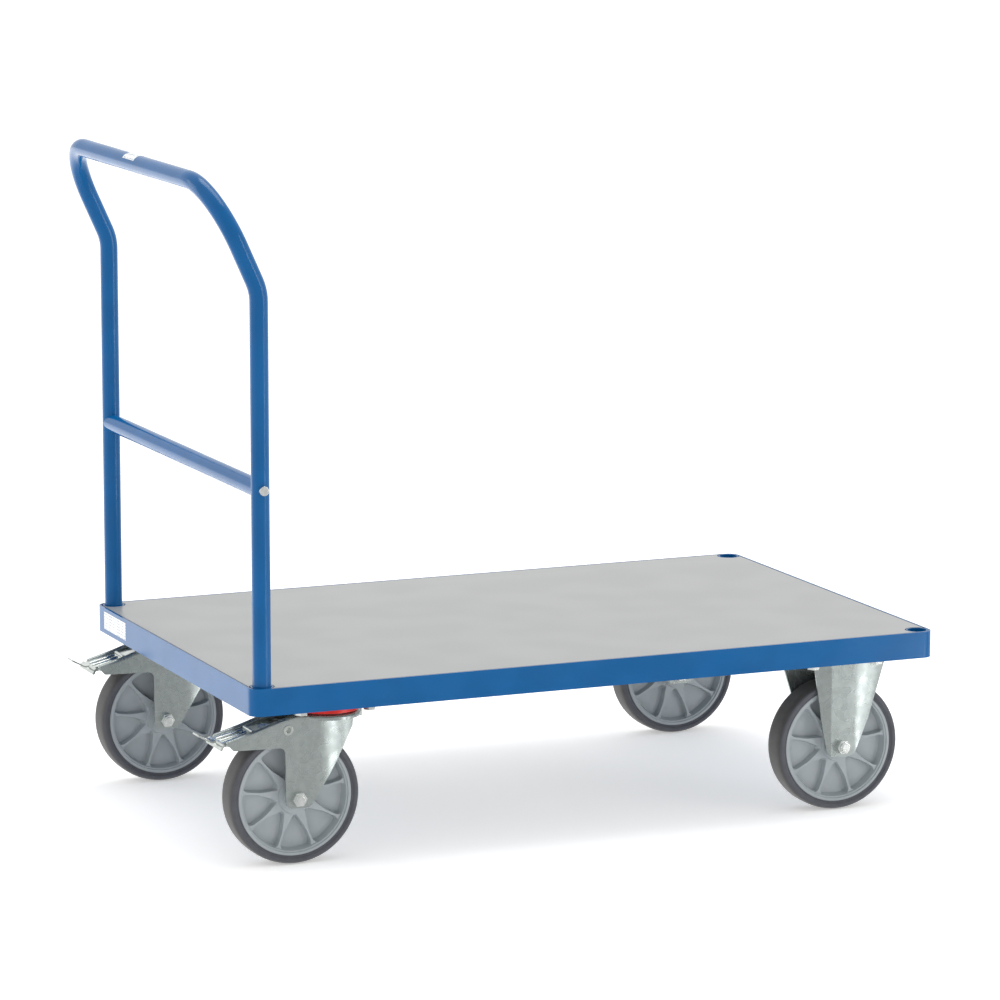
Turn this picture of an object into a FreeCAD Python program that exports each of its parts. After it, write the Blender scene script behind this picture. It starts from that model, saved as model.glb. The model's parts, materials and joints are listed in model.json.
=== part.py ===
import FreeCAD, Part
import math
import os
import re

import Sketcher

# Platform trolley: a blue steel frame with a laminate deck, a bent tube handle at the rear (-X),
# two fixed castors at the front (+X) and two swivel castors with foot brakes at the rear.
# The floor is z = 0. The origin lies on the floor under the middle of the overall length.

sizes = [
    # alias, value in millimetres or degrees, what it is
    ("deck_length", 1096, "outer length of the platform frame"),
    ("frame_shift", 2, "frame centre forward of the middle between the castors"),
    ("deck_width", 700, "outer width of the platform frame"),
    ("frame_top", 272, "height of the frame's top edge"),
    ("skirt", 40, "height of the frame's skirt"),
    ("steel", 3, "sheet thickness of the rails"),
    ("corner_radius", 18, "outer corner radius of the frame"),
    ("corner_return", 24, "how far a side rail wraps round the corner"),
    ("shelf_width", 25, "width of the shelf that carries the deck"),
    ("shelf_top", 259.5, "height of the shelf's top face"),
    ("board", 12.5, "thickness of the deck board"),
    ("deck_gap", 1.5, "gap between the board and the rails"),
    ("socket_outer", 16.85, "outer radius of a corner socket"),
    ("socket_bore", 14.25, "bore radius of a corner socket"),
    ("socket_inset", 20, "socket axis to the frame's sides and to its front face"),
    ("handle_inset", 22, "handle axis to the frame's rear face"),
    ("channel_width", 40, "width of a cross channel"),
    ("plate_top", 235, "height of the castor plates' top face"),
    ("plate_thick", 4, "thickness of a castor plate"),
    ("plate_length", 140, "castor plate along the trolley"),
    ("plate_width", 110, "castor plate across the trolley"),
    ("hole_pitch_x", 105, "plate holes along the trolley"),
    ("hole_pitch_y", 80, "plate holes across the trolley"),
    ("bolt_hole", 5.5, "radius of the M10 clearance holes"),
    ("castor_x", 410, "castor plate centre to the platform centre"),
    ("castor_y", 288, "castor centre to the middle plane"),
    ("trail", 56, "swivel axis to wheel axle"),
    ("tyre_radius", 100, "wheel radius over the tyre"),
    ("rim_radius", 87, "radius of the rim under the tyre"),
    ("rim_lip", 79.5, "inner radius of the rim's outer ring"),
    ("rim_half", 19.6, "half width of the rim's outer ring"),
    ("tyre_half", 22.4, "half width of the tyre"),
    ("hub_radius", 25, "radius of the wheel's hub"),
    ("hub_ring_half", 20.5, "half length of the hub's outer ring"),
    ("boss_radius", 17, "radius of the boss round the bearing"),
    ("hub_half", 28.4, "half length of that boss"),
    ("spoke_half", 15, "half width of the rim over the spokes"),
    ("web_half", 5, "half thickness of the rim's web"),
    ("spoke_count", 9, "spokes in a rim"),
    ("bearing_outer", 14.5, "outer radius of the roller bearing"),
    ("sleeve_radius", 10, "outer radius of the axle sleeve"),
    ("axle_radius", 6, "radius of the M12 axle bolt"),
    ("fork_half", 32.4, "outer face of a fork leg to the wheel's middle plane"),
    ("fork_steel", 3, "sheet thickness of a fork"),
    ("crown_radius", 50.5, "radius of a swivel fork's crown"),
    ("crown_top", 222, "height of the crown's top face"),
    ("crown_thick", 4, "thickness of the crown"),
    ("leg_top", 215, "height of the top edge of the swivel fork's legs"),
    ("pin_radius", 10, "radius of the king pin"),
    ("race_radius", 32, "radius of the ball circle"),
    ("ball_radius", 3.5, "radius of a swivel ball"),
    ("ring_radius", 49, "radius of the dust ring"),
    ("pivot_back", 70.4, "brake pivot behind the swivel axis"),
    ("pivot_z", 202, "height of the brake pivot"),
    ("pivot_radius", 6, "outer radius of a brake pivot rivet"),
    ("rivet_head", 0.8, "how far a rivet's head stands off the arm"),
    ("stub_radius", 2.4, "radius of the stub that the pedal turns on"),
    ("flange_turn", 12, "how far a fork leg's flat flange turns in, in degrees"),
    ("fixed_sweep", 190, "radius of the fixed fork's curved flange"),
    ("swivel_sweep", 165, "radius of the swivel fork's curved flange"),
    ("roll_radius", 4.5, "radius of the rolled shoulder on a swivel fork's arm"),
    ("pedal_steel", 2.5, "sheet thickness of the brake pedal"),
    ("rib_radius", 3, "radius of the pedal's ribs and of its cross bead"),
    ("rib_length", 40, "length of the pedal's ribs"),
    ("rib_y", 7.5, "the pedal's ribs to its middle plane"),
    ("slot_half", 3.6, "half width of the slot in the pedal"),
    ("shoe_half", 17, "half width of the brake shoe"),
    ("pedal_tip", 197, "brake pedal tip behind the swivel axis"),
    ("pedal_half", 22.5, "half width of the brake pedal"),
    ("tube_radius", 13.45, "outer radius of the handle tube"),
    ("tube_bore", 10.95, "inner radius of the handle tube"),
    ("handle_bend_z", 842, "height of the handle's lower bend"),
    ("handle_top_z", 993, "height of the top bar's axis"),
    ("handle_lean", 68, "how far the top bar stands back"),
    ("crossbar_z", 558, "height of the crossbar's axis"),
    ("side_bend", 72, "radius of the handle's lower bends"),
    ("top_bend", 95, "radius of the handle's top corners"),
]

doc = FreeCAD.newDocument("platform_trolley")
sheet = doc.addObject("Spreadsheet::Sheet", "Sizes")
for row, (alias, number, note) in enumerate(sizes, start=1):
    sheet.set(f"A{row}", alias)
    sheet.set(f"B{row}", str(number))
    sheet.setAlias(f"B{row}", alias)
    sheet.set(f"C{row}", note)
doc.recompute()

words = re.compile(r"\b(" + "|".join(alias for alias, number, note in sizes) + r")\b")
pieces = []


def in_sheet(expression):
    """Write the sheet's name before every alias in an expression."""
    return words.sub(r"Sizes.\1", str(expression))


def number(expression):
    """The value of an expression, in millimetres or degrees."""
    result = sheet.evalExpression(in_sheet(expression))
    return float(getattr(result, "Value", result))


def bind(thing, prop, expression):
    """Tie a property to the sheet."""
    thing.setExpression(prop, in_sheet(expression))


# The castors' middle sits forward of the origin, because the pedals reach out behind the frame.
castors_x = "(castor_x + pedal_tip - deck_length/2 - frame_shift)/2"
platform_x = f"{castors_x} + frame_shift"
swivel_x = f"{castors_x} - castor_x"
fixed_x = f"{castors_x} + castor_x"
post_x = "(deck_length/2 - handle_inset)"
front_post_x = "(deck_length/2 - socket_inset)"
post_y = "(deck_width/2 - socket_inset)"
sides = (("right", -1), ("left", 1))


def place(thing, x="0", y="0", z="0"):
    """Bind an object's position."""
    for axis, expression in zip("xyz", (x, y, z)):
        bind(thing, f"Placement.Base.{axis}", expression)


def new_body(label, x="0", y="0", z="0"):
    """A PartDesign body that will be written as one node."""
    body = doc.addObject("PartDesign::Body", label)
    body.Label = label
    place(body, x, y, z)
    pieces.append(body)
    return body


def new_piece(label, shape, x="0", y="0", z="0"):
    """A formed piece whose shape is built from the sheet's values."""
    piece = doc.addObject("Part::Feature", label)
    piece.Label = label
    piece.Shape = shape
    place(piece, x, y, z)
    pieces.append(piece)
    return piece


def sketch_on(body, role, name, height="0"):
    """A sketch on one of the body's origin planes, lifted along the plane's normal."""
    plane = next(item for item in body.Origin.OriginFeatures if item.Role == role)
    sketch = body.newObject("Sketcher::SketchObject", f"{body.Name}_{name}")
    sketch.AttachmentSupport = [(plane, "")]
    sketch.MapMode = "FlatFace"
    bind(sketch, "AttachmentOffset.Base.z", height)
    return sketch


def pin(sketch, shape_index, point_index, x, y):
    """Hold a sketch point at a bound distance from the origin."""
    for kind, axis, expression in (("DistanceX", -2, x), ("DistanceY", -1, y)):
        amount = number(expression)
        if abs(amount) < 1e-9:
            sketch.addConstraint(Sketcher.Constraint("PointOnObject", shape_index, point_index, axis))
            continue
        index = sketch.addConstraint(
            Sketcher.Constraint(kind, -1, 1, shape_index, point_index, amount))
        bind(sketch, f"Constraints[{index}]", expression)


def polygon(sketch, corners):
    """A closed outline through bound corners."""
    points = [FreeCAD.Vector(number(x), number(y), 0) for x, y in corners]
    first = sketch.GeometryCount
    count = len(points)
    for index in range(count):
        sketch.addGeometry(Part.LineSegment(points[index], points[(index + 1) % count]))
    for index in range(count):
        sketch.addConstraint(
            Sketcher.Constraint("Coincident", first + index, 2, first + (index + 1) % count, 1))
    for index, (x, y) in enumerate(corners):
        pin(sketch, first + index, 1, x, y)


def rectangle(sketch, low_x, high_x, low_y, high_y):
    """A closed rectangle between bound limits."""
    polygon(sketch, [(low_x, low_y), (high_x, low_y), (high_x, high_y), (low_x, high_y)])


def circle(sketch, x, y, radius):
    """A bound circle."""
    centre = FreeCAD.Vector(number(x), number(y), 0)
    index = sketch.addGeometry(Part.Circle(centre, FreeCAD.Vector(0, 0, 1), number(radius)))
    pin(sketch, index, 3, x, y)
    constraint = sketch.addConstraint(Sketcher.Constraint("Radius", index, number(radius)))
    bind(sketch, f"Constraints[{constraint}]", radius)


def pad(body, sketch, length, middle=False):
    """Raise a sketch along its normal."""
    feature = body.newObject("PartDesign::Pad", f"{sketch.Name}_pad")
    feature.Profile = sketch
    bind(feature, "Length", length)
    feature.Midplane = middle
    return feature


def pocket(body, sketch, depth, reverse=False):
    """Cut a sketch into the body, and make sure that it took material away."""
    doc.recompute()
    before = body.Shape.Volume
    feature = body.newObject("PartDesign::Pocket", f"{sketch.Name}_pocket")
    feature.Profile = sketch
    bind(feature, "Length", depth)
    feature.Reversed = reverse
    doc.recompute()
    if not body.Shape.Volume < before - 1e-3:
        raise RuntimeError(f"{feature.Name} cut nothing")
    return feature


def revolve(body, sketch, axis="V_Axis"):
    """Turn a sketch once round one of its own axes."""
    feature = body.newObject("PartDesign::Revolution", f"{sketch.Name}_turn")
    feature.Profile = sketch
    feature.ReferenceAxis = (sketch, [axis])
    feature.Angle = 360
    return feature


def round_edges(body, name, radius, wanted):
    """Fillet the edges of the body's tip that the test picks."""
    doc.recompute()
    tip = body.Tip
    names = [f"Edge{index}" for index, edge in enumerate(tip.Shape.Edges, start=1) if wanted(edge)]
    if not names:
        raise RuntimeError(f"{body.Label}: {name} found no edge")
    feature = body.newObject("PartDesign::Fillet", f"{body.Name}_{name}")
    feature.Base = (tip, names)
    bind(feature, "Radius", radius)
    return feature


def is_upright(edge, axis="z"):
    """Is a straight edge parallel to an axis?"""
    if edge.Curve.TypeId != "Part::GeomLine":
        return False
    return abs(abs(getattr(edge.Curve.Direction, axis)) - 1) < 1e-6


# Formed sheet pieces: outlines in a vertical plane, made from Part's own functions

def rounded_outline(points, height_axis=True):
    """A closed wire through (across, up, corner radius) points, in the XZ or the XY plane."""
    flat = [FreeCAD.Vector(a, 0, b) if height_axis else FreeCAD.Vector(a, b, 0) for a, b, r in points]
    count = len(flat)
    edges = []
    starts = []
    ends = []
    arcs = []
    for index, (a, b, radius) in enumerate(points):
        here = flat[index]
        back = (flat[index - 1] - here).normalize()
        ahead = (flat[(index + 1) % count] - here).normalize()
        if radius == 0:
            starts.append(here)
            ends.append(here)
            arcs.append(None)
            continue
        half = back.getAngle(ahead)/2
        reach = radius/math.tan(half)
        middle = (back + ahead).normalize()
        centre = here + middle*(radius/math.sin(half))
        starts.append(here + back*reach)
        ends.append(here + ahead*reach)
        arcs.append(centre - middle*radius)
    for index in range(count):
        if arcs[index] is not None:
            edges.append(Part.Arc(starts[index], arcs[index], ends[index]).toShape())
        following = starts[(index + 1) % count]
        if (following - ends[index]).Length > 1e-6:
            edges.append(Part.makeLine(ends[index], following))
    return Part.Wire(edges)


def slab(points, low_y, high_y):
    """A side outline carried across the wheel from one Y to another."""
    face = Part.Face(rounded_outline(points))
    face.translate(FreeCAD.Vector(0, low_y, 0))
    return face.extrude(FreeCAD.Vector(0, high_y - low_y, 0))


def box(low_x, high_x, low_y, high_y, low_z, high_z):
    """A box between limits."""
    corner = FreeCAD.Vector(low_x, low_y, low_z)
    return Part.makeBox(high_x - low_x, high_y - low_y, high_z - low_z, corner)


def rod(radius, low, high, centre, axis):
    """A cylinder along X, Y or Z between two limits on that axis."""
    start = FreeCAD.Vector(*centre)
    direction = FreeCAD.Vector(*(1 if name == axis else 0 for name in "xyz"))
    setattr(start, axis, low)
    return Part.makeCylinder(radius, high - low, start, direction)


def hexagon(flats, low, high, centre, axis):
    """A hexagonal prism along X, Y or Z."""
    radius = flats/math.sqrt(3)
    turns = [math.radians(60*step) for step in range(7)]
    ring = [FreeCAD.Vector(radius*math.cos(turn), radius*math.sin(turn), 0) for turn in turns]
    prism = Part.Face(Part.makePolygon(ring)).extrude(FreeCAD.Vector(0, 0, high - low))
    if axis == "y":
        prism.rotate(FreeCAD.Vector(0, 0, 0), FreeCAD.Vector(1, 0, 0), -90)
    if axis == "x":
        prism.rotate(FreeCAD.Vector(0, 0, 0), FreeCAD.Vector(0, 1, 0), 90)
    start = FreeCAD.Vector(*centre)
    setattr(start, axis, low)
    prism.translate(start)
    return prism


def fused(first, *others):
    """One solid from pieces that meet."""
    return first.fuse(list(others)).removeSplitter()


# The frame: two side rails that wrap round the corners, and two end rails between them

def side_rail(label, side):
    """A skirt with a shelf for the deck; side is -1 on the right and 1 on the left."""
    body = new_body(label, platform_x)
    outer_y = f"{side}*deck_width/2"
    inner_y = f"{side}*(deck_width/2 - steel)"
    end_y = f"{side}*(deck_width/2 - corner_return)"
    skirt = sketch_on(body, "XY_Plane", "skirt", "frame_top - skirt")
    polygon(skirt, [
        ("-deck_length/2", end_y),
        ("-deck_length/2", outer_y),
        ("deck_length/2", outer_y),
        ("deck_length/2", end_y),
        ("deck_length/2 - steel", end_y),
        ("deck_length/2 - steel", inner_y),
        ("steel - deck_length/2", inner_y),
        ("steel - deck_length/2", end_y),
    ])
    pad(body, skirt, "skirt")
    shelf = sketch_on(body, "XY_Plane", "shelf", "shelf_top - steel")
    reach = "(deck_length/2 - 2.1*socket_inset)"
    rectangle(shelf, f"-{reach}", reach, f"{side}*(deck_width/2 - steel - shelf_width)", inner_y)
    pad(body, shelf, "steel")
    outer = number(outer_y)
    inner = number(inner_y)
    lowest = number("frame_top - skirt/2")
    length = number("skirt") - 1
    round_edges(body, "outer_corner", "corner_radius",
                lambda edge: is_upright(edge) and edge.Length > length
                and abs(edge.CenterOfMass.y - outer) < 0.01 and edge.CenterOfMass.z < lowest + 1)
    round_edges(body, "inner_corner", "corner_radius - steel",
                lambda edge: is_upright(edge) and edge.Length > length
                and abs(edge.CenterOfMass.y - inner) < 0.01 and edge.CenterOfMass.z < lowest + 1)
    holes = sketch_on(body, "XY_Plane", "screw_holes", "shelf_top")
    for x in screw_steps:
        circle(holes, x, f"{side}*(deck_width/2 - steel - shelf_width/2)", screw_radius)
    pocket(body, holes, "steel")


def end_rail(label, end):
    """A straight skirt with a shelf; end is -1 at the handle and 1 at the front."""
    body = new_body(label, platform_x)
    outer_x = f"{end}*deck_length/2"
    inner_x = f"{end}*(deck_length/2 - steel)"
    half = "(deck_width/2 - corner_return)"
    skirt = sketch_on(body, "XY_Plane", "skirt", "frame_top - skirt")
    rectangle(skirt, outer_x, inner_x, f"-{half}", half)
    pad(body, skirt, "skirt")
    shelf = sketch_on(body, "XY_Plane", "shelf", "shelf_top - steel")
    reach = "(deck_width/2 - 2.1*socket_inset)"
    rectangle(shelf, inner_x, f"{end}*(deck_length/2 - steel - shelf_width)", f"-{reach}", reach)
    pad(body, shelf, "steel")
    holes = sketch_on(body, "XY_Plane", "screw_holes", "shelf_top")
    for y in end_screw_steps:
        circle(holes, f"{end}*(deck_length/2 - steel - shelf_width/2)", y, screw_radius)
    pocket(body, holes, "steel")


screw_radius = "2.25"
screw_steps = [f"{step}*deck_length/7" for step in (-3, -1, 1, 3)]
end_screw_steps = [f"{step}*deck_width/4" for step in (-1, 1)]
for name, side in sides:
    side_rail(f"side_rail_{name}", side)
end_rail("end_rail_front", 1)
end_rail("end_rail_rear", -1)


def corner_socket(label, end, side, lock_screw):
    """A tube welded into a corner; the rear pair takes the handle."""
    x = f"{platform_x} + {front_post_x}" if end > 0 else f"{platform_x} - {post_x}"
    body = new_body(label, x, f"{side}*{post_y}")
    ring = sketch_on(body, "XY_Plane", "ring", "frame_top - skirt")
    circle(ring, "0", "0", "socket_outer")
    circle(ring, "0", "0", "socket_bore")
    pad(body, ring, "skirt")
    if lock_screw:
        hole = sketch_on(body, "YZ_Plane", "lock_hole")
        circle(hole, "0", lock_z, "3")
        pocket(body, hole, "socket_outer + 1", reverse=True)


lock_z = "frame_top - skirt/2 - 8"
for name, side in sides:
    corner_socket(f"front_socket_{name}", 1, side, False)
    corner_socket(f"rear_socket_{name}", -1, side, True)


def deck_board():
    """The laminate board: cut square at the corners and hollowed round each socket."""
    body = new_body("deck_board", platform_x)
    board = sketch_on(body, "XY_Plane", "outline", "shelf_top")
    half_x = "(deck_length/2 - steel - deck_gap)"
    half_y = "(deck_width/2 - steel - deck_gap)"
    rectangle(board, f"-{half_x}", half_x, f"-{half_y}", half_y)
    pad(body, board, "board")
    corners = sketch_on(body, "XY_Plane", "corners", "shelf_top + board")
    rounds = sketch_on(body, "XY_Plane", "rounds", "shelf_top + board")
    for end in (-1, 1):
        for side in (-1, 1):
            axis_x = front_post_x if end > 0 else post_x
            low_x = f"{end}*({axis_x} - 2)"
            low_y = f"{side}*(deck_width/2 - socket_inset - 2)"
            rectangle(corners, low_x, f"{end}*deck_length/2", low_y, f"{side}*deck_width/2")
            circle(rounds, f"{end}*{axis_x}", f"{side}*{post_y}", "socket_outer + deck_gap")
    pocket(body, corners, "board")
    pocket(body, rounds, "board")
    pilots = sketch_on(body, "XY_Plane", "pilots", "shelf_top")
    for side in (-1, 1):
        for x in screw_steps:
            circle(pilots, x, f"{side}*(deck_width/2 - steel - shelf_width/2)", screw_radius)
        for y in end_screw_steps:
            circle(pilots, f"{side}*(deck_length/2 - steel - shelf_width/2)", y, screw_radius)
    pocket(body, pilots, pilot_depth, reverse=True)
    return body


pilot_depth = "9"
deck_board()


def cross_channel(label, x):
    """An upward open channel across the frame that carries the castor plates."""
    body = new_body(label, f"{castors_x} + {x}")
    section = sketch_on(body, "XZ_Plane", "section")
    half = "channel_width/2"
    top = "shelf_top"
    polygon(section, [
        (f"-{half}", "plate_top"),
        (half, "plate_top"),
        (half, top),
        (f"{half} - steel", top),
        (f"{half} - steel", "plate_top + steel"),
        (f"steel - {half}", "plate_top + steel"),
        (f"steel - {half}", top),
        (f"-{half}", top),
    ])
    pad(body, section, "deck_width - 2*steel", middle=True)
    notch = sketch_on(body, "YZ_Plane", "shelf_notch", f"-{half}")
    for side in (-1, 1):
        rectangle(notch, f"{side}*(deck_width/2 - steel - shelf_width)", f"{side}*deck_width/2",
                  "shelf_top - steel", "shelf_top + 1")
    pocket(body, notch, "channel_width", reverse=True)
    holes = sketch_on(body, "XY_Plane", "holes", "plate_top + steel")
    for side in (-1, 1):
        for step in (-1, 1):
            circle(holes, "0", f"{side}*castor_y + {step}*hole_pitch_y/2", "bolt_hole")
    pocket(body, holes, "steel")


for name, end in (("rear", -1), ("front", 1)):
    cross_channel(f"{name}_channel_outer", f"{end}*(castor_x + hole_pitch_x/2)")
    cross_channel(f"{name}_channel_inner", f"{end}*(castor_x - hole_pitch_x/2)")


# Fasteners: groups of identical pieces

def castor_fasteners():
    """Sixteen M10 screws from below the castor plates, and their nuts inside the channels."""
    screws = []
    nuts = []
    top = number("plate_top")
    low = top - number("plate_thick")
    for centre_x in (number("castor_x"), -number("castor_x")):
        for side in (-1, 1):
            for step_x in (-1, 1):
                for step_y in (-1, 1):
                    x = centre_x + step_x*number("hole_pitch_x")/2
                    y = side*number("castor_y") + step_y*number("hole_pitch_y")/2
                    centre = (x, y, 0)
                    shank = rod(m10_radius, low, top + 14, centre, "z")
                    screws.append(fused(hexagon(17, low - 6.4, low, centre, "z"), shank))
                    rough = hexagon(17, top + number("steel"), top + number("steel") + 8, centre, "z")
                    nuts.append(rough.cut(shank))
    new_piece("castor_screws", Part.makeCompound(screws), castors_x)
    new_piece("castor_nuts", Part.makeCompound(nuts), castors_x)


m10_radius = 5
castor_fasteners()


def deck_screws():
    """Pan head screws up through the shelf into the board."""
    low = number("shelf_top - steel")
    radius = number(screw_radius) - 0.1
    spots = []
    for side in (-1, 1):
        for x in screw_steps:
            spots.append((number(x), side*number("deck_width/2 - steel - shelf_width/2"), 0))
        for y in end_screw_steps:
            spots.append((side*number("deck_length/2 - steel - shelf_width/2"), number(y), 0))
    screws = []
    for spot in spots:
        shank = rod(radius, low, low + number("steel") + number(pilot_depth) - 1, spot, "z")
        screws.append(fused(rod(5, low - 2.5, low, spot, "z"), shank))
    new_piece("deck_screws", Part.makeCompound(screws), platform_x)


deck_screws()


# Wheels: plastic rim, rubber tyre and roller bearing, turned about the Y axis

def wheel(name, x, y, turn):
    """One wheel, with its origin at the middle of its axle; turn is how far it has rolled."""
    rim = new_body(f"rim_{name}", x, y, "tyre_radius")
    rim.Placement.Rotation = FreeCAD.Rotation(FreeCAD.Vector(0, 1, 0), turn)
    half = sketch_on(rim, "XY_Plane", "section")
    polygon(half, [
        ("bearing_outer", "-hub_half"),
        ("boss_radius", "-hub_half"),
        ("boss_radius", "-hub_ring_half"),
        ("hub_radius", "-hub_ring_half"),
        ("hub_radius", "-spoke_half"),
        ("rim_lip", "-spoke_half"),
        ("rim_lip", "-rim_half"),
        ("rim_radius", "-rim_half"),
        ("rim_radius", "rim_half"),
        ("rim_lip", "rim_half"),
        ("rim_lip", "spoke_half"),
        ("hub_radius", "spoke_half"),
        ("hub_radius", "hub_ring_half"),
        ("boss_radius", "hub_ring_half"),
        ("boss_radius", "hub_half"),
        ("bearing_outer", "hub_half"),
    ])
    revolve(rim, half)
    for face, reverse in (("front", False), ("back", True)):
        panel = sketch_on(rim, "XZ_Plane", f"{face}_panel", "-spoke_half" if reverse else "spoke_half")
        panel_outline(panel)
        cut = pocket(rim, panel, "spoke_half - web_half", reverse)
        pattern = rim.newObject("PartDesign::PolarPattern", f"{rim.Name}_{face}_panels")
        pattern.Originals = [cut]
        pattern.Axis = (panel, ["N_Axis"])
        pattern.Angle = 360
        pattern.Occurrences = int(number("spoke_count"))
        rim.Tip = pattern
    round_edges(rim, "panel_corners", "3",
                lambda edge: is_upright(edge, "y") and 1 < edge.Length < 14)

    tyre = new_body(f"tyre_{name}", x, y, "tyre_radius")
    band = sketch_on(tyre, "XY_Plane", "section")
    polygon(band, [
        ("rim_radius", "-rim_half"),
        ("rim_radius + 3", "-rim_half - 0.4"),
        ("rim_radius + 5", "-tyre_half"),
        ("tyre_radius - 4.5", "-tyre_half"),
        ("tyre_radius - 1.5", "-tyre_half + 3"),
        ("tyre_radius", "-tyre_half/2"),
        ("tyre_radius", "tyre_half/2"),
        ("tyre_radius - 1.5", "tyre_half - 3"),
        ("tyre_radius - 4.5", "tyre_half"),
        ("rim_radius + 5", "tyre_half"),
        ("rim_radius + 3", "rim_half + 0.4"),
        ("rim_radius", "rim_half"),
    ])
    revolve(tyre, band)

    bearing = new_body(f"bearing_{name}", x, y, "tyre_radius")
    cage = sketch_on(bearing, "XY_Plane", "section")
    rectangle(cage, "sleeve_radius + 0.08", "bearing_outer", "1.5 - hub_half", "hub_half - 1.5")
    revolve(bearing, cage)


def panel_outline(sketch):
    """A recess between two spokes: two straight sides and a back that follows the rim."""
    side_angle = "(180/spoke_count - 2.4)"
    apex_x = "(hub_radius + 4)"
    apex_y = "3"
    far_x = number(f"rim_lip*cos({side_angle})")
    far_y = number(f"rim_lip*sin({side_angle})")
    near_low = FreeCAD.Vector(number(apex_x), -number(apex_y), 0)
    near_high = FreeCAD.Vector(number(apex_x), number(apex_y), 0)
    far_low = FreeCAD.Vector(far_x, -far_y, 0)
    far_high = FreeCAD.Vector(far_x, far_y, 0)
    middle = FreeCAD.Vector(number("rim_lip"), 0, 0)
    sketch.addGeometry(Part.LineSegment(near_low, far_low))
    sketch.addGeometry(Part.Arc(far_low, middle, far_high))
    sketch.addGeometry(Part.LineSegment(far_high, near_high))
    sketch.addGeometry(Part.LineSegment(near_high, near_low))
    for first, first_end, second, second_end in ((0, 2, 1, 1), (1, 2, 2, 1), (2, 2, 3, 1), (3, 2, 0, 1)):
        sketch.addConstraint(Sketcher.Constraint("Coincident", first, first_end, second, second_end))
    sketch.addConstraint(Sketcher.Constraint("Coincident", 1, 3, -1, 1))
    pin(sketch, 0, 1, apex_x, f"-{apex_y}")
    pin(sketch, 3, 1, apex_x, apex_y)
    radius = sketch.addConstraint(Sketcher.Constraint("Radius", 1, number("rim_lip")))
    bind(sketch, f"Constraints[{radius}]", "rim_lip")
    low = sketch.addConstraint(Sketcher.Constraint("DistanceY", -1, 1, 0, 2, -far_y))
    bind(sketch, f"Constraints[{low}]", f"-rim_lip*sin({side_angle})")
    high = sketch.addConstraint(Sketcher.Constraint("DistanceY", -1, 1, 2, 1, far_y))
    bind(sketch, f"Constraints[{high}]", f"rim_lip*sin({side_angle})")


front_turn = 12
rear_turn = 8
for name, side in sides:
    wheel(f"front_{name}", fixed_x, f"{side}*castor_y", front_turn)
    wheel(f"rear_{name}", f"{swivel_x} - trail", f"{side}*castor_y", rear_turn)


# Axles: an M12 bolt through both fork legs and a sleeve that the bearing runs on

def axle_parts(x):
    """Bolt and lock nut, and the sleeve, for an axle at this X in the piece's own frame."""
    z = number("tyre_radius")
    half = number("fork_half")
    inner = half - number("fork_steel")
    radius = number("axle_radius")
    centre = (x, 0, z)
    shank = rod(radius, -half - 14, half, centre, "y")
    bolt = fused(hexagon(19, half, half + 7.5, centre, "y"), shank)
    nut = fused(hexagon(19, -half - 9, -half, centre, "y"), rod(8, -half - 13, -half - 9, centre, "y"))
    nut = nut.cut(shank)
    bored = rod(radius + 0.1, -inner, inner, centre, "y")
    sleeve = rod(number("sleeve_radius"), -inner, inner, centre, "y").cut(bored)
    return bolt, nut, sleeve


def leg_wire(z, low_edge, low_bend, high_bend, high_edge, sweep):
    """Plan section of the right fork leg: a slanted flange, a flat panel and a curved flange.

    The slanted flange turns in by flange_turn, and the curved one follows an arc of radius sweep.
    Its edges and bends are places along the trolley, measured from the castor's axis.
    """
    half = number("fork_half")
    steel = number("fork_steel")
    turn_in = (low_bend - low_edge)*math.tan(math.radians(number("flange_turn")))

    def arc_point(x, offset):
        angle = math.asin((x - high_bend)/sweep)
        radius = sweep - offset
        return FreeCAD.Vector(high_bend + radius*math.sin(angle), sweep - half - radius*math.cos(angle), z)

    middle_x = (high_bend + high_edge)/2
    outer = [FreeCAD.Vector(low_edge, turn_in - half, z), FreeCAD.Vector(low_bend, -half, z),
             FreeCAD.Vector(high_bend, -half, z)]
    inner = [FreeCAD.Vector(low_edge, turn_in - half + steel, z),
             FreeCAD.Vector(low_bend, steel - half, z), FreeCAD.Vector(high_bend, steel - half, z)]
    return Part.Wire([
        Part.makeLine(outer[0], outer[1]),
        Part.makeLine(outer[1], outer[2]),
        Part.Arc(outer[2], arc_point(middle_x, 0), arc_point(high_edge, 0)).toShape(),
        Part.makeLine(arc_point(high_edge, 0), arc_point(high_edge, steel)),
        Part.Arc(arc_point(high_edge, steel), arc_point(middle_x, steel), inner[2]).toShape(),
        Part.makeLine(inner[2], inner[1]),
        Part.makeLine(inner[1], inner[0]),
        Part.makeLine(inner[0], outer[0]),
    ])


def fixed_fork(label, side):
    """A plate and two legs; the legs are alike under half a turn about the vertical axis."""
    low = number("plate_top - plate_thick")
    sweep = number("fixed_sweep")
    foot = number("tyre_radius") - 16
    upper = leg_wire(z=low, low_edge=-45, low_bend=-18, high_bend=20.5, high_edge=77, sweep=sweep)
    lower = leg_wire(z=foot - 6, low_edge=-24, low_bend=-18, high_bend=20.5, high_edge=25, sweep=sweep)
    leg = Part.makeLoft([lower, upper], True, True)
    outline = slab([(-52, low, 0), (-22, foot, 14), (20, foot, 12), (88, low, 0)], -60, 0)
    leg = leg.common(outline)
    other = leg.copy()
    other.rotate(FreeCAD.Vector(0, 0, 0), FreeCAD.Vector(0, 0, 1), 180)
    shape = fused(castor_plate_shape(), leg, other)
    shape = shape.cut(rod(number("axle_radius") + 0.1, -50, 50, (0, 0, number("tyre_radius")), "y"))
    new_piece(label, shape, fixed_x, f"{side}*castor_y")


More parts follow.
